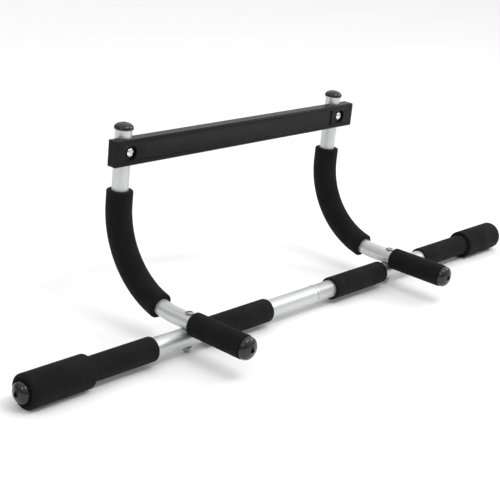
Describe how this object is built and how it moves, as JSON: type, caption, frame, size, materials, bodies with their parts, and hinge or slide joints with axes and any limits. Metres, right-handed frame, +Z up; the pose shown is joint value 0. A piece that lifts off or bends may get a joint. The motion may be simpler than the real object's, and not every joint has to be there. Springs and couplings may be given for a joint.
{
  "type": "doorway pull up bar",
  "caption": "Doorway pull up bar: long main bar with foam grips, bent arms with handles, upright posts and a brace beam that rests on the door trim.",
  "frame": {"origin": "on the floor below the middle of the whole object's box", "axes": "+X along the main bar, -Y towards the two handles, +Z up along the posts"},
  "size_m": [0.9884, 0.2648, 0.2623],
  "materials": {
    "tube_steel": "satin silver",
    "foam": "matt closed-cell foam",
    "cap_plastic": "glossy dark grey",
    "brace_plastic": "satin dark charcoal",
    "bright_zinc": "bright zinc plate"
  },
  "bodies": {
    "root": {"arm_bolt_left": "bright_zinc", "arm_bolt_right": "bright_zinc", "arm_left": "tube_steel", "arm_nut_left": "bright_zinc", "arm_nut_right": "bright_zinc", "arm_right": "tube_steel", "arm_washer_left": "bright_zinc", "arm_washer_right": "bright_zinc", "bar_cap_left": "cap_plastic", "bar_cap_right": "cap_plastic", "brace_bolt_left": "bright_zinc", "brace_bolt_right": "bright_zinc", "brace_nut_left": "bright_zinc", "brace_nut_right": "bright_zinc", "brace_washer_left": "bright_zinc", "brace_washer_right": "bright_zinc", "curve_grip_left": "foam", "curve_grip_right": "foam", "end_sleeve_left": "foam", "end_sleeve_right": "foam", "handle_cap_left": "cap_plastic", "handle_cap_right": "cap_plastic", "handle_grip_left": "foam", "handle_grip_right": "foam", "inner_grip_left": "foam", "inner_grip_right": "foam", "main_bar_left": "tube_steel", "main_bar_right": "tube_steel", "outer_grip_left": "foam", "outer_grip_right": "foam", "post_cap_left": "cap_plastic", "post_cap_right": "cap_plastic", "trim_brace": "brace_plastic"}
  },
  "joints": []
}
